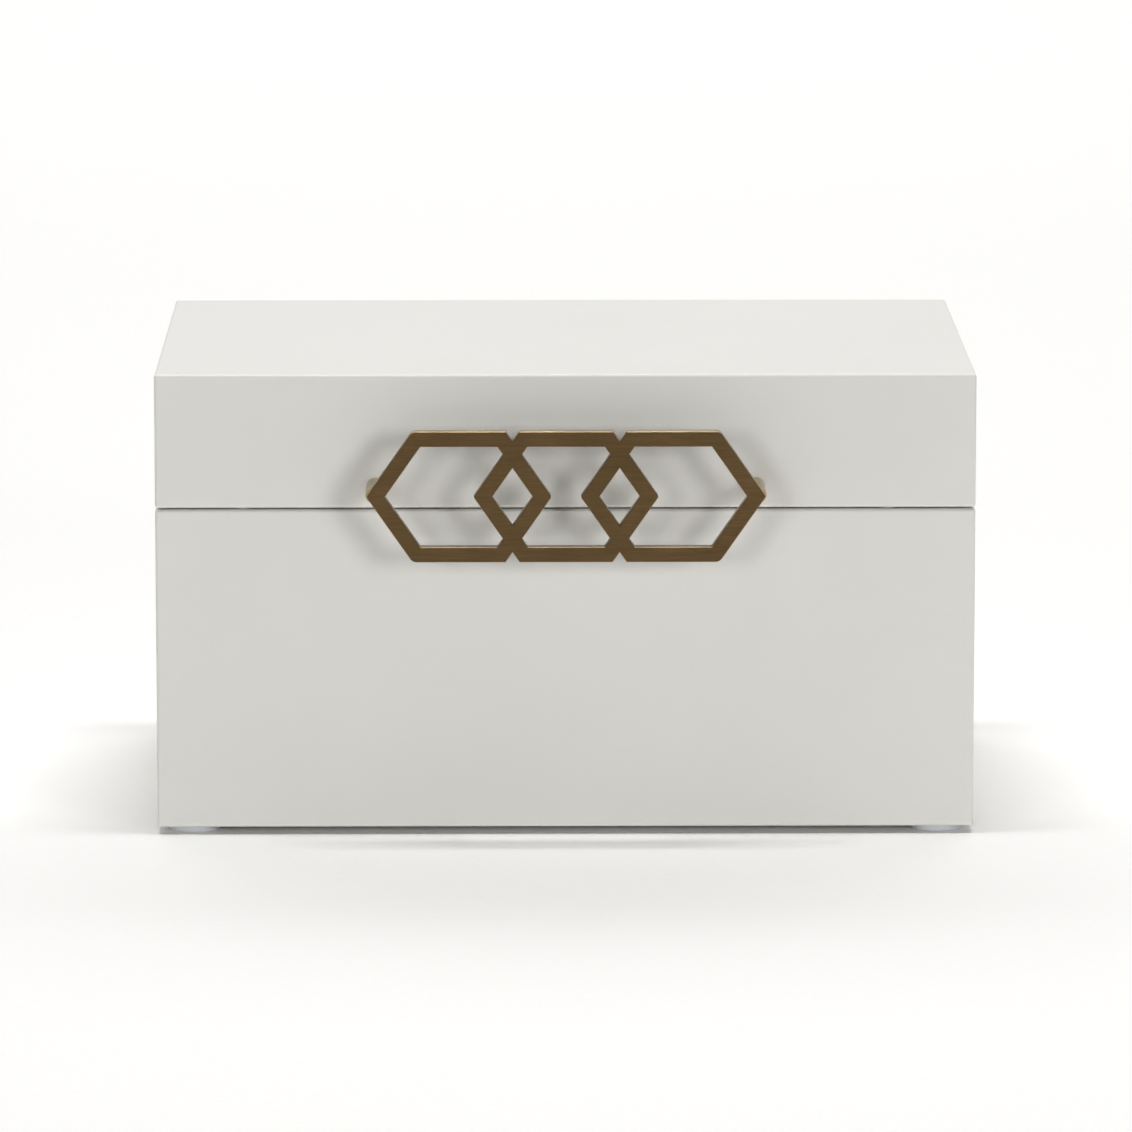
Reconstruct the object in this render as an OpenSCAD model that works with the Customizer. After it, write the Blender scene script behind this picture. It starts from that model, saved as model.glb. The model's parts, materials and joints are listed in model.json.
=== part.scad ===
// Lidded jewellery chest in white lacquer, with a brass handle of three linked hexagons,
// stop hinges at the back, a velvet lining and a lift-out tray.
// Millimetres, +Z up. The chest stands on its feet at z = 0 with the handle towards -Y,
// and the origin is under the middle of its overall length and depth.

/* [Chest] */
// Width, side face to side face
body_w = 280; // [220:5:400]
// Depth, front face to back face
body_d = 190; // [150:5:300]
// Height of the base, underside to rim
base_h = 110.4; // [90:0.1:180]
// Height of the lid, rim to top
lid_h = 46; // [36:1:90]
// Thickness of the walls, the lid's rails and the lid's top
wall_t = 10; // [8:0.5:15]
// Thickness of the bottom board
bottom_t = 9; // [6:0.5:12]
// Depth of the step in the walls that takes the bottom board
rabbet_d = 4; // [2:0.5:5]
// Radius of the eased outer edges
edge_r = 1.2; // [0.6:0.1:3]
// Gap between the base and the closed lid
seam = 0.5; // [0.4:0.1:1.5]

/* [Feet and bumpers] */
// Diameter of a foot
foot_d = 18; // [12:1:24]
// Height of a foot
foot_h = 2.5; // [1.5:0.5:6]
// From the chest's faces to the centre of a foot
foot_inset = 12; // [10:0.5:30]
// Diameter of the bumper dots on the front rim
bumper_d = 5; // [3:0.5:9]
// From the side faces to the centre of a bumper
bumper_inset = 30; // [12:1:60]

/* [Handle] */
// Width of one hexagon, vertex to vertex
hex_w = 62.7; // [50:0.1:75]
// Height of a hexagon, flat to flat
hex_h = 44.7; // [36:0.1:56]
// Length of a hexagon's flat side
hex_flat = 31.5; // [20:0.1:40]
// Distance from one hexagon to the next
hex_pitch = 36.25; // [30:0.05:45]
// Width of the bars
bar_w = 5.2; // [3.5:0.1:7]
// Thickness of the bars
bar_t = 4.5; // [3:0.5:10]
// Chamfer on the bars' edges
bar_chamfer = 0.2; // [0.1:0.05:0.8]
// Radius of the handle's four outer corners
corner_r = 3.6; // [1:0.2:6]
// Radius of the hexagons' tips
tip_r = 1; // [0.5:0.1:3]
// Height of the handle's centre above the lid's lower edge
handle_rise = 7.5; // [6:0.1:20]
// Room for fingers between the handle and the lid
handle_standoff = 19; // [14:1:35]
// Diameter of a post
post_d = 6; // [5.5:0.1:10]
// From the tip of an outer hexagon to the post's centre
post_inset = 2.7; // [2.5:0.1:12]

/* [Hinges] */
// Length of a hinge
hinge_l = 32; // [24:1:50]
// From the side faces to the middle of a hinge
hinge_inset = 55; // [35:1:90]
// Radius of the knuckles
knuckle_r = 3; // [2.5:0.1:4]
// Radius of the hinge pin
pin_r = 1.25; // [0.8:0.05:1.6]
// Thickness of a leaf
leaf_t = 1.6; // [1:0.1:2.5]
// How far a leaf runs into the wall
leaf_d = 8; // [6:0.5:8]
// Outer radius of the stop lugs
lug_r = 6; // [5:0.1:8]
// Angle at which the stops hold the lid open
lid_opening = 100; // [90:1:115]

/* [Lining] */
// Thickness of the lining boards in the base, which carry the tray
liner_t = 4; // [3:0.5:8]
// Thickness of the lining card in the lid
lid_liner_t = 1; // [0.6:0.1:1.2]
// Thickness of the floor pad
floor_pad_t = 5; // [3:0.5:10]
// Thickness of the pad in the lid
lid_pad_t = 6; // [3:0.5:12]

/* [Tray] */
// Height of the tray
tray_h = 34; // [24:1:50]
// How far the tray's edge sits below the rim
tray_sink = 5; // [3:0.5:12]
// Thickness of the tray's walls
tray_wall_t = 4; // [3:0.5:6]
// Thickness of the tray's floor
tray_floor_t = 3; // [2:0.5:5]
// Thickness of the dividers
divider_t = 3; // [2:0.5:4]
// How far the dividers' edges sit below the tray's edge
divider_drop = 5; // [2:0.5:12]
// Depth of the front row of bays
front_bay_d = 66; // [50:1:80]
// Width of the bay that holds the ring rolls
ring_bay_w = 130; // [70:1:150]
// Height of the ring rolls
roll_h = 17; // [12:1:22]
// Width of a pull tab
pull_w = 14; // [8:1:24]
// Height of a pull tab
pull_h = 20; // [12:1:24]

/* [Clearances] */
// Between the tray and the walls
tray_gap = 1.5; // [1.4:0.1:2.5]
// Around a soft piece
soft_gap = 0.4; // [0.3:0.1:1]
// Between knuckles, and between a knuckle and what turns past it
knuckle_gap = 0.2; // [0.15:0.05:0.5]
// Between the pin and the bore that turns on it
pin_gap = 0.05; // [0.02:0.01:0.1]
// Between the two leaves of a closed hinge
leaf_gap = 0.3; // [0.2:0.1:0.5]
// Between a leaf and the sides of its recess
recess_gap = 0.15; // [0.1:0.05:0.5]
// Around a screw
screw_gap = 0.05; // [0.02:0.01:0.2]

/* [Hidden] */
$fn = 96;

lacquer = "#f1f0ea";
brass = "#8a6f45";
hinge_brass = "#b79a5e";
velvet = "#8c8178";
suede = "#cfc5b8";
ribbon = "#b3a698";
steel = "#a9abad";
silicone = "#c9cdd2";

// Wood screws in the hinges and machine screws in the handle
screw_r = 1.1;
screw_head_r = 2;
screw_head_h = 1.1;
screw_l = 9;
screw_pitch = 10.5;
machine_r = 2;
machine_head_r = 3.8;
machine_head_h = 2.6;
machine_seat = 4;
machine_grip = 9;
machine_bottoming = 1;
drive_w = 0.5;
drive_l = 2.4;
drive_h = 0.6;
stop_slack = 0.6;
rolls = 5;
rear_bays = 3;
eps = 0.01;

// Heights
base_top = foot_h + base_h;
lid_bottom = base_top + seam;
lid_top = lid_bottom + lid_h;
ceiling_z = lid_top - wall_t;
floor_z = foot_h + bottom_t;
tray_z = base_top - tray_sink - tray_h;
tray_top = tray_z + tray_h;
bay_z = tray_z + tray_floor_t;
divider_top = tray_top - divider_drop;

// Places along Y: the handle and the hinges reach past the body's faces
pin_offset = knuckle_r + knuckle_gap;
stop_angle = (lid_opening + stop_slack) / 2;
hinge_reach = pin_offset + max(knuckle_r, lug_r * cos(stop_angle));
handle_reach = handle_standoff + bar_t;
body_y = (handle_reach - hinge_reach) / 2;
front_y = body_y - body_d / 2;
back_y = body_y + body_d / 2;

// Half sizes of the inside and of the tray
in_x = body_w / 2 - wall_t;
in_y = body_d / 2 - wall_t;
tray_x = in_x - tray_gap;
tray_y = in_y - tray_gap;
bay_x = tray_x - tray_wall_t;
bay_y = tray_y - tray_wall_t;

// Hinge: the pin lies behind the seam
pin_y = back_y + pin_offset;
pin_z = base_top + seam / 2;
hinge_x = body_w / 2 - hinge_inset;
knuckle_l = (hinge_l - 2 * knuckle_gap) / 3;
screw_y = -pin_offset - leaf_d / 2;

// Handle
handle_z = lid_bottom + handle_rise;
handle_y = front_y - handle_standoff - bar_t / 2;
slant = atan2(hex_h, hex_w - hex_flat);
post_x = hex_pitch + hex_w / 2 - post_inset;

// Tray layout: a front row with the ring bay at its left, and a row of equal bays behind
divider_y = body_y - bay_y + front_bay_d;
ring_wall_x = -bay_x + ring_bay_w;
front_wall_x = (ring_wall_x + bay_x) / 2;
rear_bay_w = (2 * bay_x - (rear_bays - 1) * divider_t) / rear_bays;
roll_pitch = front_bay_d / rolls;
roll_w = roll_pitch - soft_gap;

FRONT = 0;
RIGHT = 1;
BACK = 2;
LEFT = 3;
CORNERS = [[-1, -1], [1, -1], [1, 1], [-1, 1]];

// ---- Shapes used by several pieces ----

// A block from its lowest to its highest x, y and z
module block(x, y, z) {
    translate([x[0], y[0], z[0]]) cube([x[1] - x[0], y[1] - y[0], z[1] - z[0]]);
}

// A flat shape in (y, z) carried from x0 to x1
module along_x(x0, x1) {
    translate([x0, 0, 0]) rotate([90, 0, 90]) linear_extrude(x1 - x0) children();
}

// A flat shape in (x, z) carried from y0 to y1
module along_y(y0, y1) {
    translate([0, y1, 0]) rotate([90, 0, 0]) linear_extrude(y1 - y0) children();
}

// A rectangle with round corners, centred
module rounded(w, h, r) {
    square([w - 2 * r, h], center = true);
    square([w, h - 2 * r], center = true);
    for (c = CORNERS) translate([c.x * (w / 2 - r), c.y * (h / 2 - r)]) circle(r);
}

// The plan of the body, with its corners eased
module plan() {
    translate([0, body_y]) rounded(body_w, body_d, edge_r);
}

// A corner of the body's plan, moved inwards
function corner(k, inset) =
    let (c = CORNERS[k % 4])
    [c.x * (body_w / 2 - inset), body_y + c.y * (body_d / 2 - inset)];

// The plan of one wall, mitred at both ends
module wall_plan(side) {
    intersection() {
        plan();
        polygon([corner(side, 0), corner(side + 1, 0), corner(side + 1, wall_t), corner(side, wall_t)]);
    }
}

// One mitred wall up to the height top, of a base or lid that reaches from z0 to z1,
// with its long edges eased inside and out
module wall(side, z0, z1, top) {
    middle = (z0 + z1) / 2;
    outward = side == FRONT || side == LEFT ? -1 : 1;
    intersection() {
        translate([0, 0, z0]) linear_extrude(top - z0) wall_plan(side);
        if (side == FRONT || side == BACK) along_x(-body_w / 2, body_w / 2) {
            translate([body_y + outward * (body_d - wall_t) / 2, middle]) rounded(wall_t, z1 - z0, edge_r);
        } else along_y(front_y, back_y) {
            translate([outward * (body_w - wall_t) / 2, middle]) rounded(wall_t, z1 - z0, edge_r);
        }
    }
}

// A board that lines one wall: the front and back boards run the full length,
// and the side boards stand between them
module liner(side, t, z0, z1) {
    if (side == FRONT) block([-in_x, in_x], [body_y - in_y, body_y - in_y + t], [z0, z1]);
    if (side == BACK) block([-in_x, in_x], [body_y + in_y - t, body_y + in_y], [z0, z1]);
    if (side == LEFT) block([-in_x, -in_x + t], [body_y - in_y + t, body_y + in_y - t], [z0, z1]);
    if (side == RIGHT) block([in_x - t, in_x], [body_y - in_y + t, body_y + in_y - t], [z0, z1]);
}

// ---- Base ----

module bottom_board() {
    x = in_x + rabbet_d;
    y = in_y + rabbet_d;
    block([-x, x], [body_y - y, body_y + y], [foot_h, floor_z]);
}

module base_panel(side) {
    color(lacquer) difference() {
        wall(side, foot_h, base_top, base_top);
        bottom_board();
        if (side == BACK) for (hand = [-1, 1]) leaf_recess(hand, -1);
    }
}

module base_bottom_panel() {
    color(lacquer) bottom_board();
}

module foot(hand, depthwise) {
    bevel = 0.3;
    x = hand * (body_w / 2 - foot_inset);
    y = body_y + depthwise * (body_d / 2 - foot_inset);
    color(silicone) translate([x, y, 0]) rotate_extrude() polygon([
        [0, 0], [foot_d / 2 - bevel, 0], [foot_d / 2, bevel],
        [foot_d / 2, foot_h - bevel], [foot_d / 2 - bevel, foot_h], [0, foot_h]
    ]);
}

module base_floor_pad() {
    x = in_x - liner_t - soft_gap;
    y = in_y - liner_t - soft_gap;
    color(velvet) block([-x, x], [body_y - y, body_y + y], [floor_z, floor_z + floor_pad_t]);
}

module base_liner(side) {
    color(velvet) liner(side, liner_t, floor_z, tray_z);
}

module lid_bumper(hand) {
    x = hand * (body_w / 2 - bumper_inset);
    color(silicone) translate([x, front_y + wall_t / 2, base_top]) cylinder(h = seam, d = bumper_d);
}

// ---- Lid ----

module lid_top_panel() {
    middle = (lid_bottom + lid_top) / 2;
    color(lacquer) intersection() {
        translate([0, 0, ceiling_z]) linear_extrude(wall_t) plan();
        along_y(front_y, back_y) translate([0, middle]) rounded(body_w, lid_h, edge_r);
        along_x(-body_w / 2, body_w / 2) translate([body_y, middle]) rounded(body_d, lid_h, edge_r);
    }
}

module lid_rail(side) {
    color(lacquer) difference() {
        wall(side, lid_bottom, lid_top, ceiling_z);
        if (side == BACK) for (hand = [-1, 1]) leaf_recess(hand, 1);
        if (side == FRONT) for (hand = [-1, 1]) handle_bore(hand);
    }
}

module lid_pad() {
    x = in_x - lid_liner_t - soft_gap;
    y = in_y - lid_liner_t - soft_gap;
    color(velvet) block([-x, x], [body_y - y, body_y + y], [ceiling_z - lid_pad_t, ceiling_z]);
}

module lid_liner(side) {
    color(velvet) liner(side, lid_liner_t, lid_bottom + lid_liner_t, ceiling_z);
}

// ---- Hinges: up is -1 for the base's leaf and 1 for the lid's ----

// Moves a shape drawn about the pin to one of the two hinges
module at_hinge(hand) {
    translate([hand * hinge_x, pin_y, pin_z]) children();
}

// Turns over, for the base's leaf, a shape that is drawn for the lid's
module flipped(up) {
    mirror([0, 0, up > 0 ? 0 : 1]) children();
}

// Wood screw with its head's face at the origin, pointing up
module wood_screw() {
    tip = 2 * screw_r;
    difference() {
        union() {
            cylinder(h = screw_head_h, r1 = screw_head_r, r2 = screw_r);
            cylinder(h = screw_l - tip, r = screw_r);
            translate([0, 0, screw_l - tip]) cylinder(h = tip, r1 = screw_r, r2 = screw_r / 5);
        }
        for (turn = [0, 90]) rotate(turn) {
            translate([0, 0, drive_h / 2 - eps]) cube([drive_l, drive_w, drive_h], center = true);
        }
    }
}

// The room that such a screw needs
module wood_screw_hole() {
    translate([0, 0, -eps]) {
        cylinder(h = screw_head_h, r1 = screw_head_r + screw_gap, r2 = screw_r + screw_gap);
    }
    cylinder(h = screw_l + screw_gap, r = screw_r + screw_gap);
}

module at_screws() {
    for (i = [-1 : 1]) translate([i * screw_pitch, screw_y, leaf_gap / 2]) children();
}

// The recess in a wall for one leaf, with its screws' pilot holes
module leaf_recess(hand, up) {
    x = hinge_l / 2 + recess_gap;
    y = pin_offset + leaf_d + recess_gap;
    at_hinge(hand) flipped(up) {
        block([-x, x], [-y, 0], [-seam, leaf_gap / 2 + leaf_t]);
        at_screws() wood_screw_hole();
    }
}

// Start of knuckle k, counted from the left
function knuckle_x(k) = -hinge_l / 2 + k * (knuckle_l + knuckle_gap);

// A sector of a ring in (y, z) about the pin, from level to straight up
module lug_section(inner_r) {
    far = 2 * lug_r;
    intersection() {
        difference() {
            circle(lug_r);
            circle(inner_r);
        }
        polygon([[0, 0], far * [cos(stop_angle), sin(stop_angle)], [0, far]]);
    }
}

// One leaf: its plate, its knuckles and the lug that stops the lid
module hinge_leaf(hand, up) {
    own = up > 0 ? [1] : [0, 2];
    bore_r = up > 0 ? pin_r + pin_gap : pin_r;
    color(hinge_brass) at_hinge(hand) flipped(up) difference() {
        union() {
            block([-hinge_l / 2, hinge_l / 2], [-pin_offset - leaf_d, -pin_offset],
                  [leaf_gap / 2, leaf_gap / 2 + leaf_t]);
            along_x(-hinge_l / 2, hinge_l / 2) lug_section(knuckle_r + knuckle_gap);
            for (k = own) {
                x0 = knuckle_x(k);
                x1 = x0 + knuckle_l;
                block([x0, x1], [-pin_offset, 0], [leaf_gap / 2, leaf_gap / 2 + leaf_t]);
                along_x(x0, x1) circle(knuckle_r);
                along_x(x0, x1) lug_section(pin_r + leaf_gap);
            }
        }
        along_x(-hinge_l, hinge_l) circle(bore_r);
        at_screws() wood_screw_hole();
    }
}

module hinge_pin(hand) {
    end = 0.6;
    color(hinge_brass) at_hinge(hand) {
        along_x(-hinge_l / 2 - end, hinge_l / 2 + end) circle(pin_r);
    }
}

module hinge_screws(hand, up) {
    color(hinge_brass) at_hinge(hand) flipped(up) at_screws() wood_screw();
}

// ---- Handle ----

// A long slab about the origin, h to each side in z and bar_t thick in y.
// Its edges are chamfered inwards for a plate, or outwards for a cutter
module slab(h, cutter) {
    over = cutter ? bar_t : 0;
    side = cutter ? 1 : -1;
    face = bar_t / 2 + over;
    lip = h + side * (bar_chamfer + over);
    shoulder = bar_t / 2 - bar_chamfer;
    along_x(-hex_w, hex_w) polygon([
        [-face, -lip], [-shoulder, -h], [shoulder, -h], [face, -lip],
        [face, lip], [shoulder, h], [-shoulder, h], [-face, lip]
    ]);
}

// A hexagon is what three slabs, one along each pair of its sides, have in common
module hexagon(inset, cutter) {
    slant_h = hex_w / 2 * sin(slant) - inset;
    intersection() {
        slab(hex_h / 2 - inset, cutter);
        rotate([0, slant, 0]) slab(slant_h, cutter);
        rotate([0, -slant, 0]) slab(slant_h, cutter);
    }
}

// What is cut off a corner to round it to radius r. The corner is at the origin and points
// to +X, and half is half of its angle. The round bulges past the corner's sides by a
// hundredth of r, so it crosses them cleanly
module corner_waste(half, r) {
    centre = -0.99 * r / sin(half);
    chord = centre + r * sin(half);
    difference() {
        block([chord, chord + r], [-bar_t, bar_t], [-r, r]);
        along_y(-bar_t - 1, bar_t + 1) translate([centre, 0]) circle(r);
    }
}

// One ring of the handle, with its tips rounded
module ring() {
    difference() {
        hexagon(0, false);
        hexagon(bar_w, true);
        for (turn = [0, 180]) rotate([0, turn, 0]) translate([hex_w / 2, 0, 0]) corner_waste(slant, tip_r);
    }
}

module handle_frame() {
    half = 90 - slant / 2;
    color(brass) translate([0, handle_y, handle_z]) difference() {
        for (i = [-1 : 1]) translate([i * hex_pitch, 0, 0]) ring();
        for (x = [-1, 1], z = [-1, 1]) {
            translate([x * (hex_pitch + hex_flat / 2), 0, z * hex_h / 2]) {
                rotate([0, x > 0 ? -z * half : z * half + 180, 0]) corner_waste(half, corner_r);
            }
        }
    }
}

module at_post(hand) {
    translate([hand * post_x, 0, handle_z]) children();
}

module handle_post(hand) {
    color(brass) at_post(hand) difference() {
        along_y(front_y - handle_standoff, front_y) circle(d = post_d);
        along_y(front_y - machine_grip - machine_bottoming, front_y + 1) circle(machine_r + screw_gap);
    }
}

// The stepped bore through the lid's front rail for a handle screw
module handle_bore(hand) {
    inner_y = front_y + wall_t;
    at_post(hand) {
        along_y(front_y - 1, inner_y + 1) circle(machine_r + screw_gap);
        along_y(inner_y - machine_seat, inner_y + 1) circle(machine_head_r + screw_gap);
    }
}

module handle_screw(hand) {
    seat_y = front_y + wall_t - machine_seat;
    head_y = seat_y + machine_head_h;
    color(steel) at_post(hand) difference() {
        union() {
            along_y(front_y - machine_grip, head_y) circle(machine_r);
            along_y(seat_y, head_y) circle(machine_head_r);
        }
        for (turn = [0, 90]) rotate([0, turn, 0]) {
            block([-drive_l, drive_l], [head_y - 2 * drive_h, head_y + 1], [-drive_w, drive_w]);
        }
    }
}

// ---- Tray ----

module tray_floor() {
    color(velvet) block([-tray_x, tray_x], [body_y - tray_y, body_y + tray_y], [tray_z, bay_z]);
}

module tray_end_wall(side) {
    y0 = side == FRONT ? body_y - tray_y : body_y + bay_y;
    color(velvet) block([-tray_x, tray_x], [y0, y0 + tray_wall_t], [bay_z, tray_top]);
}

module tray_side_wall(side) {
    x0 = side == LEFT ? -tray_x : bay_x;
    color(velvet) block([x0, x0 + tray_wall_t], [body_y - bay_y, body_y + bay_y], [bay_z, tray_top]);
}

module tray_long_divider() {
    color(velvet) block([-bay_x, bay_x], [divider_y, divider_y + divider_t], [bay_z, divider_top]);
}

module tray_front_divider(x0) {
    color(velvet) block([x0, x0 + divider_t], [body_y - bay_y, divider_y], [bay_z, divider_top]);
}

module tray_rear_divider(i) {
    x0 = -bay_x + i * rear_bay_w + (i - 1) * divider_t;
    color(velvet) {
        block([x0, x0 + divider_t], [divider_y + divider_t, body_y + bay_y], [bay_z, divider_top]);
    }
}

// A ring roll: a bar with a round top, counted from the front
module ring_roll(i) {
    y = body_y - bay_y + (i - 0.5) * roll_pitch;
    r = roll_w / 2;
    color(suede) along_x(-bay_x + soft_gap, ring_wall_x - soft_gap) translate([y, bay_z]) {
        translate([-r, 0]) square([roll_w, roll_h - r]);
        translate([0, roll_h - r]) circle(r);
    }
}

// A ribbon loop on the inside of a side wall, standing a little above the tray's edge
module tray_pull(hand) {
    rise = 3;
    pull_t = 1.6;
    z1 = tray_top + rise;
    x = [bay_x - pull_t, bay_x];
    y = body_y + (divider_y - body_y + divider_t + bay_y) / 2;
    color(ribbon) mirror([hand < 0 ? 1 : 0, 0, 0]) {
        block(x, [y - pull_w / 2, y + pull_w / 2], [z1 - pull_h, z1]);
    }
}

base_panel(FRONT);  // base_front_panel
base_panel(RIGHT);  // base_right_panel
base_panel(BACK);  // base_back_panel
base_panel(LEFT);  // base_left_panel
base_bottom_panel();
foot(-1, -1);  // foot_front_left
foot(1, -1);  // foot_front_right
foot(-1, 1);  // foot_rear_left
foot(1, 1);  // foot_rear_right
base_floor_pad();
base_liner(FRONT);  // base_front_liner
base_liner(RIGHT);  // base_right_liner
base_liner(BACK);  // base_back_liner
base_liner(LEFT);  // base_left_liner
lid_bumper(-1);  // lid_bumper_left
lid_bumper(1);  // lid_bumper_right
lid_top_panel();
lid_rail(FRONT);  // lid_front_rail
lid_rail(RIGHT);  // lid_right_rail
lid_rail(BACK);  // lid_back_rail
lid_rail(LEFT);  // lid_left_rail
lid_pad();
lid_liner(FRONT);  // lid_front_liner
lid_liner(RIGHT);  // lid_right_liner
lid_liner(BACK);  // lid_back_liner
lid_liner(LEFT);  // lid_left_liner
hinge_leaf(-1, -1);  // hinge_left_base_leaf
hinge_leaf(-1, 1);  // hinge_left_lid_leaf
hinge_pin(-1);  // hinge_left_pin
hinge_screws(-1, -1);  // hinge_left_base_screws
hinge_screws(-1, 1);  // hinge_left_lid_screws
hinge_leaf(1, -1);  // hinge_right_base_leaf
hinge_leaf(1, 1);  // hinge_right_lid_leaf
hinge_pin(1);  // hinge_right_pin
hinge_screws(1, -1);  // hinge_right_base_screws
hinge_screws(1, 1);  // hinge_right_lid_screws
handle_frame();
handle_post(-1);  // handle_post_left
handle_post(1);  // handle_post_right
handle_screw(-1);  // handle_screw_left
handle_screw(1);  // handle_screw_right
tray_floor();
tray_end_wall(FRONT);  // tray_front_wall
tray_end_wall(BACK);  // tray_back_wall
tray_side_wall(LEFT);  // tray_left_wall
tray_side_wall(RIGHT);  // tray_right_wall
tray_long_divider();
tray_front_divider(ring_wall_x);  // tray_ring_divider
tray_front_divider(front_wall_x);
tray_rear_divider(1);  // tray_rear_divider_left
tray_rear_divider(2);  // tray_rear_divider_right
ring_roll(1);  // ring_roll_1
ring_roll(2);  // ring_roll_2
ring_roll(3);  // ring_roll_3
ring_roll(4);  // ring_roll_4
ring_roll(5);  // ring_roll_5
tray_pull(-1);  // tray_pull_left
tray_pull(1);  // tray_pull_right
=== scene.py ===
"""A white lacquered jewellery chest with an aged brass handle, velvet inside, on a pale floor."""
import json
import math

import bpy
import numpy as np
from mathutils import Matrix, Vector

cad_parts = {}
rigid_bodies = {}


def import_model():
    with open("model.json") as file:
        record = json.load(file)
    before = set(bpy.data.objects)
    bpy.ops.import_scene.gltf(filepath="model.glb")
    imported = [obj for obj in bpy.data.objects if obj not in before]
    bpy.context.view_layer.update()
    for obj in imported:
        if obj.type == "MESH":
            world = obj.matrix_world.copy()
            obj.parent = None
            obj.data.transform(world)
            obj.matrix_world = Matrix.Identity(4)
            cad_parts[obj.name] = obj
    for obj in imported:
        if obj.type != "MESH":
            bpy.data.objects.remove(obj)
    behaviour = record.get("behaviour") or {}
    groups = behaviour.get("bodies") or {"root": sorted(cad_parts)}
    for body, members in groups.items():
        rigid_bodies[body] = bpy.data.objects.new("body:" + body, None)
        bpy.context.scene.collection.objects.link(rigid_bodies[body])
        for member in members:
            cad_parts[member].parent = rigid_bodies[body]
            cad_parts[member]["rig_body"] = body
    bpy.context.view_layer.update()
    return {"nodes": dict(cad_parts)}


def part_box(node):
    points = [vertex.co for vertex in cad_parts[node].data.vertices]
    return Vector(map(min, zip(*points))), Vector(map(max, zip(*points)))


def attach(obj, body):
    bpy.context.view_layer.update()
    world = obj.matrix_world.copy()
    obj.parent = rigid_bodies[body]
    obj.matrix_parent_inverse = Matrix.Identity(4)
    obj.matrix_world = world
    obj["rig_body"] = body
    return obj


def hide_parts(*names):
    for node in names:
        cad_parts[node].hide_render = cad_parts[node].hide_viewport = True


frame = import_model()
MM = 0.001


# ---- Nodes and colours ----

def linear(colour):
    """The linear RGBA of an sRGB hex colour."""
    srgb = np.array([int(colour[i:i + 2], 16) for i in (1, 3, 5)]) / 255
    rgb = np.where(srgb <= 0.04045, srgb / 12.92, ((srgb + 0.055) / 1.055) ** 2.4)
    return (*map(float, rgb), 1.0)


def per(size_mm):
    """The texture scale at which a pattern repeats about once every size_mm."""
    return 1 / (size_mm * MM)


def add(tree, kind, output, inputs=None, stops=(), **settings):
    """Adds a node to a tree and returns the named output. An input that is a socket is linked and
    any other is set. stops are a colour ramp's (place, hex colour) pairs."""
    node = tree.nodes.new("ShaderNode" + kind)
    for name, value in settings.items():
        setattr(node, name, value)
    for name, value in (inputs or {}).items():
        if isinstance(value, bpy.types.NodeSocket):
            tree.links.new(value, node.inputs[name])
        else:
            node.inputs[name].default_value = value
    for _ in stops[2:]:
        node.color_ramp.elements.new(0.5)
    for k, (place, colour) in enumerate(stops):
        node.color_ramp.elements[k].position = place
        node.color_ramp.elements[k].color = linear(colour)
    return node.outputs[output]


def grains(tree, size_mm, detail=2.0, stretch=(1, 1, 1), roughness=0.5):
    """An uneven pattern through the whole object, from 0 to 1, with grains about size_mm across,
    drawn out along an axis where stretch is below 1."""
    place = add(tree, "TexCoord", "Object")
    placed = add(tree, "Mapping", "Vector", {"Vector": place, "Scale": stretch})
    return add(tree, "TexNoise", "Fac", {
        "Vector": placed, "Scale": per(size_mm), "Detail": detail, "Roughness": roughness,
    })


def material(name, surface, settings, make):
    """A material with one Principled shader. settings are its constants by socket name, and
    make(tree) returns the sockets that a pattern drives. surface is its colour in the viewport."""
    made = bpy.data.materials.new(name)
    made.use_nodes = True
    made.diffuse_color = linear(surface)
    tree = made.node_tree
    shader = tree.nodes["Principled BSDF"]
    for socket, value in settings.items():
        shader.inputs[socket].default_value = value
    for socket, source in make(tree).items():
        tree.links.new(source, shader.inputs[socket])
    return made


# ---- Materials ----

def satin_lacquer():
    """Polyurethane lacquer, sprayed and left satin on MDF: warm white, a soft even sheen, and the
    faint orange peel of a sprayed coat, about 2.5 mm from dimple to dimple and 2 microns deep."""
    def make(tree):
        drift = grains(tree, 90, detail=3)
        flatting = grains(tree, 25, detail=4)
        peel = grains(tree, 2.5)
        tint = [(0.3, "#dcdbd6"), (0.7, "#dfded9")]
        return {
            "Base Color": add(tree, "ValToRGB", "Color", {"Fac": drift}, tint),
            "Roughness": add(tree, "MapRange", "Result", {
                "Value": flatting, "To Min": 0.33, "To Max": 0.41,
            }),
            "Normal": add(tree, "Bump", "Normal", {"Height": peel, "Distance": 0.002 * MM}),
        }
    return material("satin_white_polyurethane_lacquer", "#dedcd7", {
        "IOR": 1.5, "Coat Weight": 0.25, "Coat Roughness": 0.22, "Coat IOR": 1.5,
    }, make)


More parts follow.
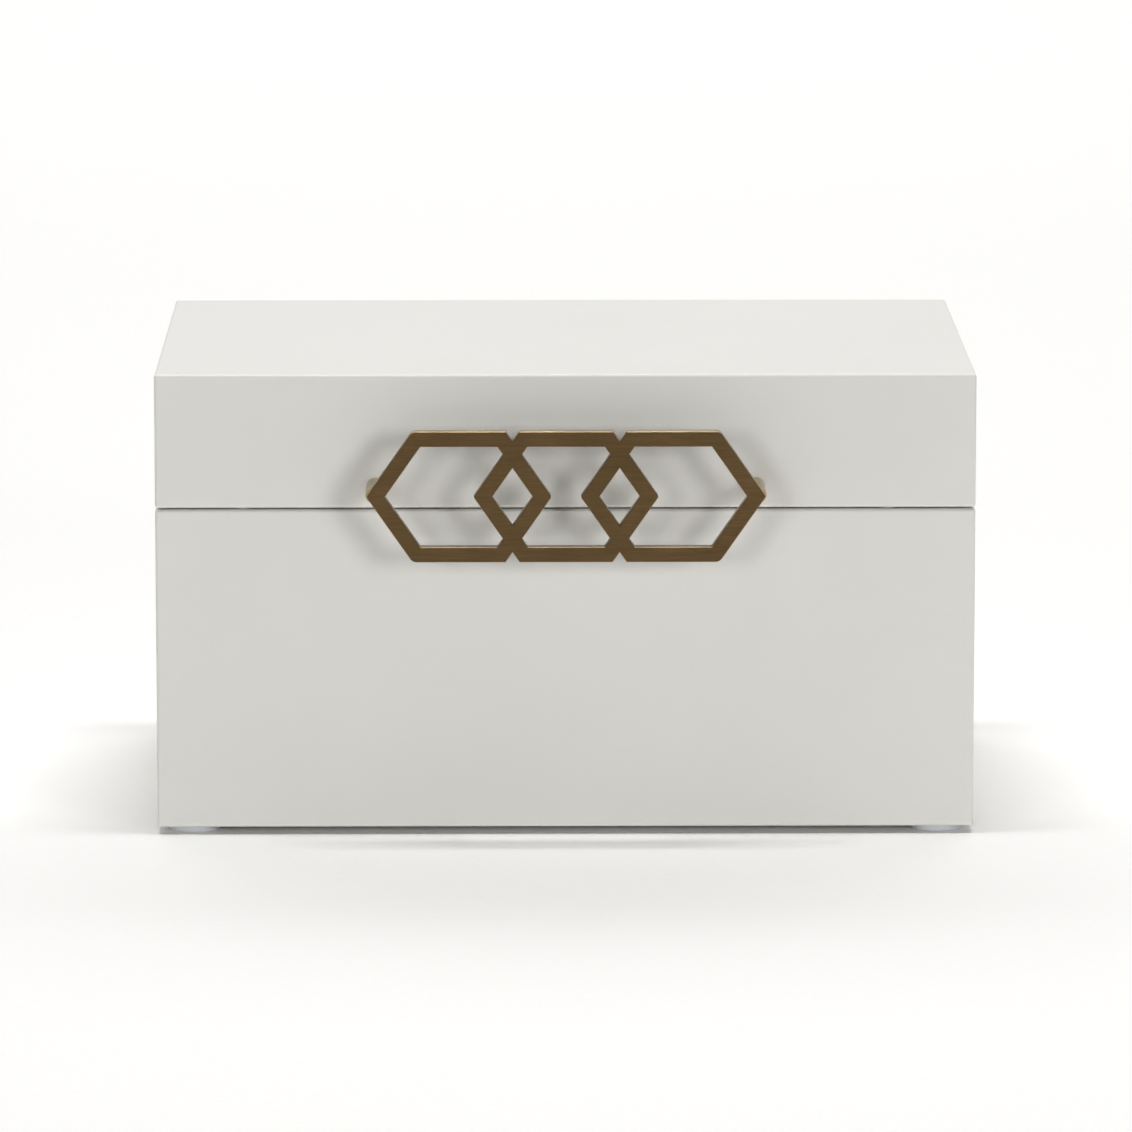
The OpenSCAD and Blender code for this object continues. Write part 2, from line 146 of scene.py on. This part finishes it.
def aged_brass():
    """Cast brass, chemically darkened and waxed. The broad faces are brushed along the handle and
    keep an even dark brown. The sides and chamfers are a paler tan: partly where hands and cloths
    rub, and partly a painted highlight for the bright line along the top edges. Brush marks are
    0.12 mm wide, drawn 0.3 mm to show."""
    def make(tree):
        brushed = grains(tree, 0.3, detail=3, stretch=(0.03, 1, 1), roughness=0.6)
        cloud = grains(tree, 18, detail=4)
        tone = add(tree, "Mix", "Result", {"Factor": 0.65, "A": cloud, "B": brushed})
        dark = [(0.3, "#4f3d24"), (0.5, "#59462c"), (0.7, "#665134")]
        face = add(tree, "ValToRGB", "Color", {"Fac": tone}, dark)
        # The paler tan for sides and chamfers is partly rubbed brass and partly a painted highlight on
        # the edges
        pale = [(0.35, "#998367"), (0.65, "#ad9a7c")]
        rubbed_and_highlight = add(tree, "ValToRGB", "Color", {"Fac": cloud}, pale)
        # The normal's Y is 1 on a broad face, 0.7 on a chamfer and 0 on a side
        normal = add(tree, "TexCoord", "Normal")
        facing = add(tree, "SeparateXYZ", "Y", {"Vector": normal})
        flat = add(tree, "Math", "Value", {0: facing}, operation="ABSOLUTE")
        side = add(tree, "MapRange", "Result", {"Value": flat, "From Min": 0.95, "From Max": 0.6})
        return {
            # Sides and chamfers take the paler tan: partly wear, partly painted highlight
            "Base Color": add(tree, "Mix", "Result", {
                "Factor": side, "A": face, "B": rubbed_and_highlight,
            }, data_type="RGBA"),
            "Roughness": add(tree, "MapRange", "Result", {
                "Value": brushed, "To Min": 0.36, "To Max": 0.5,
            }),
            "Normal": add(tree, "Bump", "Normal", {"Height": brushed, "Distance": 0.005 * MM}),
        }
    return material("brushed_aged_brass", "#59462c", {
        "Metallic": 1.0, "Anisotropic": 0.4, "Coat Weight": 0.15, "Coat Roughness": 0.3,
    }, make)


def satin_metal(name, colour, light):
    """Small metalwork with a satin finish, as rolled brass strip, turned brass or zinc plate on
    steel: even and fairly bright, with a fine grain along X, 0.1 mm wide and drawn 0.2 mm to
    show."""
    def make(tree):
        grain = grains(tree, 0.2, stretch=(0.02, 1, 1))
        cloud = grains(tree, 6, detail=3)
        tone = add(tree, "Mix", "Result", {"Factor": 0.4, "A": cloud, "B": grain})
        return {
            "Base Color": add(tree, "ValToRGB", "Color", {"Fac": tone}, [(0.3, colour), (0.7, light)]),
            "Roughness": add(tree, "MapRange", "Result", {
                "Value": grain, "To Min": 0.22, "To Max": 0.36,
            }),
            "Normal": add(tree, "Bump", "Normal", {"Height": grain, "Distance": 0.003 * MM}),
        }
    return material(name, colour, {"Metallic": 1.0}, make)


def frosted_silicone():
    """Moulded silicone with a frosted skin: cloudy blue grey that lets a little light in."""
    def make(tree):
        frost = grains(tree, 0.5, detail=3)
        cloud = grains(tree, 5)
        tint = [(0.3, "#cfd2d6"), (0.7, "#d8dade")]
        return {
            "Base Color": add(tree, "ValToRGB", "Color", {"Fac": cloud}, tint),
            "Roughness": add(tree, "MapRange", "Result", {
                "Value": frost, "To Min": 0.4, "To Max": 0.55,
            }),
            "Normal": add(tree, "Bump", "Normal", {"Height": frost, "Distance": 0.01 * MM}),
        }
    return material("frosted_silicone", "#d3d6da", {
        "IOR": 1.41, "Subsurface Weight": 0.35, "Subsurface Scale": 2 * MM,
    }, make)


def velvet(name, dark, light, sheen, pile_mm=0.45, nap_mm=16.0):
    """Short-pile velvet or suede cloth: a deep matt ground with a pale bloom at the rim of every
    form. The pile's tufts are 0.2 mm, drawn as coarse as pile_mm to show, and the nap lies in
    brushed patches about nap_mm across that catch more or less light."""
    def make(tree):
        pile = grains(tree, pile_mm, detail=3, roughness=0.7)
        nap = grains(tree, nap_mm, detail=4, stretch=(1, 0.45, 0.45), roughness=0.6)
        tone = add(tree, "Mix", "Result", {"Factor": 0.4, "A": nap, "B": pile})
        brushed = add(tree, "Bump", "Normal", {"Height": nap, "Distance": 0.25 * MM})
        return {
            "Base Color": add(tree, "ValToRGB", "Color", {"Fac": tone}, [(0.3, dark), (0.7, light)]),
            "Roughness": add(tree, "MapRange", "Result", {
                "Value": nap, "To Min": 0.82, "To Max": 0.96,
            }),
            "Normal": add(tree, "Bump", "Normal", {
                "Height": pile, "Distance": 0.12 * MM, "Normal": brushed,
            }),
        }
    return material(name, dark, {
        "Sheen Weight": 0.7, "Sheen Roughness": 0.35, "Sheen Tint": linear(sheen),
        "Specular IOR Level": 0.15,
    }, make)


def grosgrain():
    """Woven rayon ribbon: soft lustre, with ribs straight across it every 0.7 mm, which follow
    the ribbon's own length through its UV map (V in metres). The troughs between the ribs are
    painted darker as shade, and the crests lighter."""
    def make(tree):
        ribbon = add(tree, "UVMap", "UV", uv_map="ribbon")
        along = add(tree, "SeparateXYZ", "Y", {"Vector": ribbon})
        turns = 2 * math.pi * per(0.7)
        phase = add(tree, "Math", "Value", {0: along, 1: turns}, operation="MULTIPLY")
        wave = add(tree, "Math", "Value", {0: phase}, operation="SINE")
        rib = add(tree, "MapRange", "Result", {"Value": wave, "From Min": -1.0})
        # Painted shade: darker in the troughs between the ribs, lighter on their crests
        rib_colour_and_trough_shade = [(0.1, "#9c8c78"), (0.9, "#c2b39e")]
        return {
            "Base Color": add(tree, "ValToRGB", "Color", {"Fac": rib}, rib_colour_and_trough_shade),
            "Normal": add(tree, "Bump", "Normal", {"Height": rib, "Distance": 0.12 * MM}),
        }
    return material("grosgrain_ribbon", "#b3a390", {
        "Roughness": 0.55, "Sheen Weight": 0.3, "Sheen Roughness": 0.4,
    }, make)


def floor_paper():
    """Seamless studio paper: matt, near white, with a barely visible tooth."""
    def make(tree):
        tooth = grains(tree, 3)
        pulp = [(0.3, "#fafaf9"), (0.7, "#fcfcfb")]
        return {
            "Base Color": add(tree, "ValToRGB", "Color", {"Fac": tooth}, pulp),
            "Normal": add(tree, "Bump", "Normal", {"Height": tooth, "Distance": 0.02 * MM}),
        }
    return material("matt_white_paper", "#fbfbfa", {"Roughness": 0.95, "Specular IOR Level": 0.1}, make)


LACQUER = satin_lacquer()
HANDLE_BRASS = aged_brass()
POST_BRASS = satin_metal("turned_pale_brass", "#a89776", "#c2b293")
HINGE_BRASS = satin_metal("satin_rolled_brass", "#a08a60", "#bfa97d")
ZINC = satin_metal("zinc_plated_steel", "#8f9192", "#b4b6b6")
SILICONE = frosted_silicone()
VELVET = velvet("taupe_cotton_velvet", "#5d5249", "#7d7167", "#d8cdc0")
SUEDE = velvet("oatmeal_suede_cloth", "#b3a594", "#cdc1b1", "#efe6da", pile_mm=0.35, nap_mm=9.0)
RIBBON = grosgrain()


def finish_of(node):
    """The finish of a CAD node that stays in view."""
    if node.startswith("handle_screw"):
        return ZINC
    if node.startswith("handle_post"):
        return POST_BRASS
    if node.startswith("handle"):
        return HANDLE_BRASS
    if node.startswith("hinge"):
        return HINGE_BRASS
    if node.startswith(("foot", "lid_bumper")):
        return SILICONE
    return LACQUER


for node_name, cad in frame["nodes"].items():
    cad.data.materials.clear()
    cad.data.materials.append(finish_of(node_name))


# ---- Making pieces ----

def new_mesh(name, points, faces):
    """A mesh from an array of points and an array of four-sided faces, all smooth."""
    mesh = bpy.data.meshes.new(name)
    mesh.from_pydata(points.tolist(), [], faces.tolist())
    mesh.polygons.foreach_set("use_smooth", np.ones(len(mesh.polygons), bool))
    mesh.update()
    return mesh


def new_piece(name, mesh, finish, node, stands_in=True):
    """Puts a piece in the scene, riding on a CAD node's body. It stands in for that node, unless
    it is only a trim beside it."""
    piece = bpy.data.objects.new(name, mesh)
    bpy.context.scene.collection.objects.link(piece)
    mesh.materials.clear()
    mesh.materials.append(finish)
    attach(piece, frame["nodes"][node]["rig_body"])
    if stands_in:
        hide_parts(node)
    return piece


def box_of(node):
    """The lowest and highest corners of a CAD node, as arrays."""
    low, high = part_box(node)
    return np.array(low), np.array(high)


def points_of(mesh):
    """A mesh's points as rows of x, y and z."""
    flat = np.empty(len(mesh.vertices) * 3)
    mesh.vertices.foreach_get("co", flat)
    return flat.reshape(-1, 3)


def grid_faces(number):
    """The four-sided faces between the rows and columns of a grid of point numbers."""
    corners = [number[:-1, :-1], number[1:, :-1], number[1:, 1:], number[:-1, 1:]]
    return np.stack(corners, -1).reshape(-1, 4)


def grid_lines(low, high, radius, bend, across):
    """Places from low to high for the lines of a rounded box's grid: r (1 - tan a) from each end
    with the angle a in even steps from 45 degrees to 0, and even steps between."""
    turn = np.tan(np.linspace(math.pi / 4, 0, bend + 1))
    ends = radius * (1 - turn)
    middle = np.linspace(low + radius, high - radius, across + 1)[1:-1]
    return np.concatenate([low + ends, middle, (high - ends)[::-1]])


def merged(points, faces):
    """Joins points that lie in one place."""
    _, first, index = np.unique(np.round(points, 7), axis=0, return_index=True, return_inverse=True)
    return points[first], index.reshape(-1)[faces]


def rounded_box(low, high, radius, bend=4, pitch=12 * MM):
    """A box with round edges, each turned in twice bend steps, and cells about pitch wide between
    them. A point q of the plain box goes to c + r (q - c) / |q - c|, where c is the point nearest
    to q in the box made smaller by r all round."""
    low, high = np.array(low, float), np.array(high, float)
    points, faces, count = [], [], 0
    counts = np.maximum(2, np.ceil((high - low - 2 * radius) / pitch)).astype(int)
    for axis in range(3):
        u_axis, v_axis = (axis + 1) % 3, (axis + 2) % 3
        u = grid_lines(low[u_axis], high[u_axis], radius, bend, counts[u_axis])
        v = grid_lines(low[v_axis], high[v_axis], radius, bend, counts[v_axis])
        grid_u, grid_v = np.meshgrid(u, v, indexing="ij")
        quads = grid_faces(np.arange(grid_u.size).reshape(grid_u.shape))
        for level, order in ((high[axis], quads), (low[axis], quads[:, ::-1])):
            side = np.empty((grid_u.size, 3))
            side[:, axis] = level
            side[:, u_axis] = grid_u.ravel()
            side[:, v_axis] = grid_v.ravel()
            points.append(side)
            faces.append(order + count)
            count += len(side)
    q = np.concatenate(points)
    core = np.clip(q, low + radius, high - radius)
    out = q - core
    q = core + radius * out / np.linalg.norm(out, axis=1, keepdims=True)
    return merged(q, np.concatenate(faces))


def crowned(points, low, high, rise, power=4):
    """Raises the two broad faces of a flat box by rise (1 - |u|^p) (1 - |v|^p), with u and v from
    -1 to 1 across them."""
    low, high = np.array(low), np.array(high)
    thin = int(np.argmin(high - low))
    unit = 2 * (points - low) / (high - low) - 1
    u, v = (np.abs(unit[:, a]).clip(0, 1) for a in range(3) if a != thin)
    raised = points.copy()
    raised[:, thin] += np.sign(unit[:, thin]) * rise * (1 - u ** power) * (1 - v ** power)
    return raised


# ---- Velvet over board: linings and tray ----

NEARLY_HALF = 0.45   # A rounding this share of the thickness leaves a narrow flat on a round edge


def wrapped_board(node, name, radius=0.9 * MM, rise=0.12 * MM):
    """A board wrapped in velvet: the CAD board with its edges rounded by the cloth and its faces
    very slightly full. On a thin card the edges are nearly half round."""
    low, high = box_of(node)
    radius = min(radius, NEARLY_HALF * float((high - low).min()))
    points, faces = rounded_box(low, high, radius)
    mesh = new_mesh(name, crowned(points, low, high, rise), faces)
    new_piece(name, mesh, VELVET, node)


for part in ("base", "lid"):
    for side in ("front", "back", "left", "right"):
        wrapped_board(f"{part}_{side}_liner", f"velvet_{part}_{side}_liner")
for board in ("floor", "front_wall", "back_wall", "left_wall", "right_wall", "long_divider",
              "ring_divider", "front_divider", "rear_divider_left", "rear_divider_right"):
    wrapped_board(f"tray_{board}", f"velvet_tray_{board}")


# ---- Pads and rolls: cloth over foam ----

def swollen(name, points, faces, held, cell, pressure, cap):
    """Cloth filled from inside: the closed form is remeshed with even cells, blown up against
    its own stretch with the held points fixed, and no point moves further than cap."""
    steps = 20
    scene = bpy.context.scene
    form = bpy.data.objects.new(name, new_mesh(name, points, faces))
    scene.collection.objects.link(form)
    remesh = form.modifiers.new("even cells", "REMESH")
    remesh.mode = "VOXEL"
    remesh.voxel_size = cell
    bpy.context.view_layer.update()
    even = bpy.data.meshes.new_from_object(form.evaluated_get(bpy.context.evaluated_depsgraph_get()))
    form.modifiers.clear()
    form.data = even
    shape = points_of(even)
    group = form.vertex_groups.new(name="held")
    group.add(np.flatnonzero(held(shape)).tolist(), 1.0, "REPLACE")
    cloth = form.modifiers.new("cloth", "CLOTH")
    cloth.settings.use_pressure = True
    cloth.settings.uniform_pressure_force = pressure
    cloth.settings.vertex_group_mass = "held"
    cloth.settings.effector_weights.gravity = 0
    cloth.settings.quality = 6
    for step in range(1, steps + 1):
        scene.frame_set(step)
    blown = form.evaluated_get(bpy.context.evaluated_depsgraph_get()).to_mesh()
    move = points_of(blown) - shape
    far = np.linalg.norm(move, axis=1, keepdims=True)
    shape = shape + move * cap / np.maximum(far, cap)
    form.modifiers.clear()
    scene.frame_set(1)
    even.vertices.foreach_set("co", shape.ravel())
    even.polygons.foreach_set("use_smooth", np.ones(len(even.polygons), bool))
    even.update()
    bpy.data.objects.remove(form)
    return even


def smoothed(piece):
    """One subdivision, the same in every view."""
    finer = piece.modifiers.new("finer", "SUBSURF")
    finer.levels = finer.render_levels = 1
    return piece


def piping(name, low, high, corner, radius, level, node):
    """A piping cord round a pad: a circle of the cord's radius carried round a rectangle with
    round corners, point = path(t) + r (n cos a + z sin a), with n the path's outward normal."""
    turn = np.linspace(0, math.pi / 2, 9)
    ring = np.linspace(0, 2 * math.pi, 12, endpoint=False)
    quarters = [(high[0], high[1]), (low[0], high[1]), (low[0], low[1]), (high[0], low[1])]
    path, normals = [], []
    for k, (x, y) in enumerate(quarters):
        angle = turn + k * math.pi / 2
        out = np.stack([np.cos(angle), np.sin(angle)], -1)
        inside = np.array([x, y]) - corner * np.sign(out.mean(0))
        path.append(inside + corner * out)
        normals.append(out)
    path, normals = np.concatenate(path), np.concatenate(normals)
    points = np.empty((len(path), len(ring), 3))
    points[..., :2] = path[:, None] + radius * normals[:, None] * np.cos(ring)[None, :, None]
    points[..., 2] = level + radius * np.sin(ring)
    number = np.arange(points[..., 0].size).reshape(points.shape[:2])
    along, around = np.roll(number, -1, 0), np.roll(number, -1, 1)
    faces = np.stack([number, along, np.roll(along, -1, 1), around], -1).reshape(-1, 4)
    mesh = new_mesh(name, points.reshape(-1, 3), faces)
    return new_piece(name, mesh, VELVET, node, stands_in=False)


def flat_pad(node, name, glued_below):
    """A foam pad covered in velvet, glued down on one face, with a piping cord at its foot. It
    starts smaller than its CAD solid by the cord all round and by what it rises."""
    low, high = box_of(node)
    cord_radius = 0.9 * MM
    corner = 3 * MM
    rise = 1.2 * MM
    glue_depth = 0.6 * MM
    margin = np.array([2 * cord_radius, 2 * cord_radius, 0])
    room = np.array([0, 0, rise])
    inner_low = low + margin + (0 if glued_below else room)
    inner_high = high - margin - (room if glued_below else 0)
    points, faces = rounded_box(inner_low, inner_high, 1.8 * MM, bend=5, pitch=6 * MM)
    glued = inner_low[2] if glued_below else inner_high[2]
    mesh = swollen(name, points, faces, lambda p: np.abs(p[:, 2] - glued) < glue_depth,
                   cell=2 * MM, pressure=4.0, cap=rise)
    pad = smoothed(new_piece(name, mesh, VELVET, node))
    level = glued + (cord_radius if glued_below else -cord_radius)
    piping(name + "_piping", low + cord_radius, high - cord_radius, corner, cord_radius, level, node)


flat_pad("base_floor_pad", "velvet_floor_pad", glued_below=True)
flat_pad("lid_pad", "velvet_lid_pad", glued_below=False)


def ring_rolls(count):
    """Foam rolls in suede cloth for rings to stand between. One roll is a rounded bar blown up by
    its foam, and the others are the same roll moved along Y, every second one end for end."""
    low, high = box_of("ring_roll_1")
    slack = 0.5 * MM
    glue_depth = 1 * MM
    squareness = 0.35   # The foot's rounding keeps this share of its height
    inner_low = low + np.array([slack, slack, 0])
    inner_high = high - slack
    radius = NEARLY_HALF * float(inner_high[1] - inner_low[1])
    points, faces = rounded_box(inner_low, inner_high, radius, bend=6, pitch=3 * MM)
    foot = points[:, 2] < inner_low[2] + radius
    points[foot, 2] = inner_low[2] + squareness * (points[foot, 2] - inner_low[2])
    one = swollen("suede_roll", points, faces, lambda p: p[:, 2] < low[2] + glue_depth,
                  cell=1.2 * MM, pressure=5.0, cap=0.8 * MM)
    shape = points_of(one)
    centre = (low + high) / 2
    for k in range(1, count + 1):
        node = f"ring_roll_{k}"
        shift = box_of(node)[0] - low
        placed = shape.copy()
        if k % 2 == 0:
            placed[:, :2] = 2 * centre[:2] - placed[:, :2]
        mesh = one.copy()
        mesh.vertices.foreach_set("co", (placed + shift).ravel())
        mesh.update()
        roll = smoothed(new_piece(f"suede_ring_roll_{k}", mesh, SUEDE, node))


ring_rolls(5)


def pull_tab(hand):
    """A loop of grosgrain ribbon: its thin section is carried up the wall, over a half circle and
    down again, and each face is path(t) + s n(t) with s half the thickness to either side. V of
    its UV map is the length along it."""
    node = f"tray_pull_{hand}"
    low, high = box_of(node)
    inward = 1 if hand == "left" else -1
    wall_x = low[0] if hand == "left" else high[0]
    thick = 0.35 * MM
    up_steps, turn_steps, cross_steps = 11, 16, 7
    bend = (high[0] - low[0]) / 2 - thick / 2
    centre_x = wall_x + inward * (bend + thick / 2)
    turn = np.linspace(0, math.pi, turn_steps + 1)
    top = high[2] - bend
    rise = np.linspace(low[2], top, up_steps, endpoint=False)
    x = np.concatenate([np.full(up_steps, -bend), -bend * np.cos(turn), np.full(up_steps, bend)])
    z = np.concatenate([rise, top + bend * np.sin(turn), rise[::-1]])
    normal = np.stack([np.gradient(z), -np.gradient(x)], -1)
    normal /= np.linalg.norm(normal, axis=1, keepdims=True)
    length = np.concatenate([[0], np.cumsum(np.hypot(np.diff(x), np.diff(z)))])
    across = np.linspace(low[1], high[1], cross_steps + 1)
    sides = []
    for face in (-0.5, 0.5):
        sheet = np.empty((len(x), len(across), 3))
        sheet[..., 0] = (centre_x + inward * (x + face * thick * normal[:, 0]))[:, None]
        sheet[..., 1] = across
        sheet[..., 2] = (z + face * thick * normal[:, 1])[:, None]
        sides.append(sheet)
    count = len(x) * len(across)
    number = np.arange(count).reshape(len(x), len(across))
    quads = grid_faces(number)
    rim = np.concatenate([number[:-1, 0], number[-1, :-1], number[:0:-1, -1], number[0, :0:-1]])
    after = np.roll(rim, -1)
    edge = np.stack([rim, after, after + count, rim + count], -1)
    faces = np.concatenate([quads[:, ::-1], quads + count, edge])
    if inward > 0:
        faces = faces[:, ::-1]
    points = np.concatenate([s.reshape(-1, 3) for s in sides])
    name = f"ribbon_pull_{hand}"
    mesh = new_mesh(name, points, faces)
    layer = mesh.uv_layers.new(name="ribbon")
    corners = np.empty(len(mesh.loops), np.int32)
    mesh.loops.foreach_get("vertex_index", corners)
    v = np.tile(np.repeat(length, len(across)), 2)[corners]
    u = points[corners, 1] - low[1]
    layer.data.foreach_set("uv", np.stack([u, v], -1).ravel())
    new_piece(name, mesh, RIBBON, node)


for hand in ("left", "right"):
    pull_tab(hand)


# ---- Floor, light and camera ----

def studio_floor(size=14.0):
    """A flat square floor at z = 0, under the feet."""
    half = size / 2
    points = np.array([[-half, -half, 0], [half, -half, 0], [half, half, 0], [-half, half, 0]])
    plane = bpy.data.objects.new("floor", new_mesh("floor", points, np.array([[0, 1, 2, 3]])))
    bpy.context.scene.collection.objects.link(plane)
    plane.data.materials.append(floor_paper())


def softbox(name, azimuth, elevation, distance, size, watts, aim):
    """A flat soft light that faces the aim point, which sees it at an azimuth right of the front
    and an elevation, both in degrees. Its size is the width and the height in metres."""
    light = bpy.data.lights.new(name, "AREA")
    light.shape = "RECTANGLE"
    light.size, light.size_y = size
    light.energy = watts
    lamp = bpy.data.objects.new(name, light)
    a, e = math.radians(azimuth), math.radians(elevation)
    towards = np.array([math.sin(a) * math.cos(e), -math.cos(a) * math.cos(e), math.sin(e)])
    lamp.location = aim + distance * towards
    lamp.rotation_euler = (math.pi / 2 - e, 0, a)
    bpy.context.scene.collection.objects.link(lamp)


def sky(dim, bright):
    """A surround that is dim and warm on the viewer's side, and bright and white behind the
    chest. Both are strengths."""
    world = bpy.data.worlds.new("surround")
    world.use_nodes = True
    tree = world.node_tree
    direction = add(tree, "TexCoord", "Generated")
    back = add(tree, "SeparateXYZ", "Y", {"Vector": direction})
    behind = add(tree, "MapRange", "Result", {"Value": back, "From Max": 0.6})
    tint = add(tree, "Mix", "Result", {
        "Factor": behind, "A": linear("#ffeedb"), "B": linear("#ffffff"),
    }, data_type="RGBA")
    strength = add(tree, "MapRange", "Result", {"Value": behind, "To Min": dim, "To Max": bright})
    background = tree.nodes["Background"]
    tree.links.new(tint, background.inputs["Color"])
    tree.links.new(strength, background.inputs["Strength"])
    bpy.context.scene.world = world


def camera(front_y):
    """A long lens in front of the chest, a little left of its middle and above it, looking
    slightly down."""
    to_left, distance, height = 0.0243, 2.656, 0.5435
    down, to_right = math.radians(9.62), math.radians(0.528)
    lens = bpy.data.cameras.new("camera")
    lens.sensor_width = 36.0
    lens.lens = 250.9
    lens.clip_end = 50.0
    eye = bpy.data.objects.new("camera", lens)
    eye.location = (-to_left, front_y - distance, height)
    eye.rotation_euler = (math.pi / 2 - down, 0, -to_right)
    bpy.context.scene.collection.objects.link(eye)
    bpy.context.scene.camera = eye


front_face_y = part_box("base_front_panel")[0].y
handle_low, handle_high = box_of("handle_frame")
handle_middle = (handle_low + handle_high) / 2
before_front = np.array([0, front_face_y - 0.08, 0])
far_behind = np.array([0, 3.2, 0])

bpy.context.scene.view_settings.view_transform = "Standard"
studio_floor()
sky(dim=0.02, bright=0.71)
softbox("key_right", azimuth=31, elevation=10, distance=3.4, size=(0.9, 0.9), watts=33.5,
        aim=handle_middle)
softbox("fill_left", azimuth=-27, elevation=10, distance=3.4, size=(0.9, 0.9), watts=21.5,
        aim=handle_middle)
softbox("overhead", azimuth=0, elevation=90, distance=2.6, size=(1.4, 0.3), watts=38.5,
        aim=before_front)
softbox("overhead_back", azimuth=0, elevation=90, distance=2.6, size=(5.0, 3.0), watts=87.0,
        aim=far_behind)
camera(front_face_y)
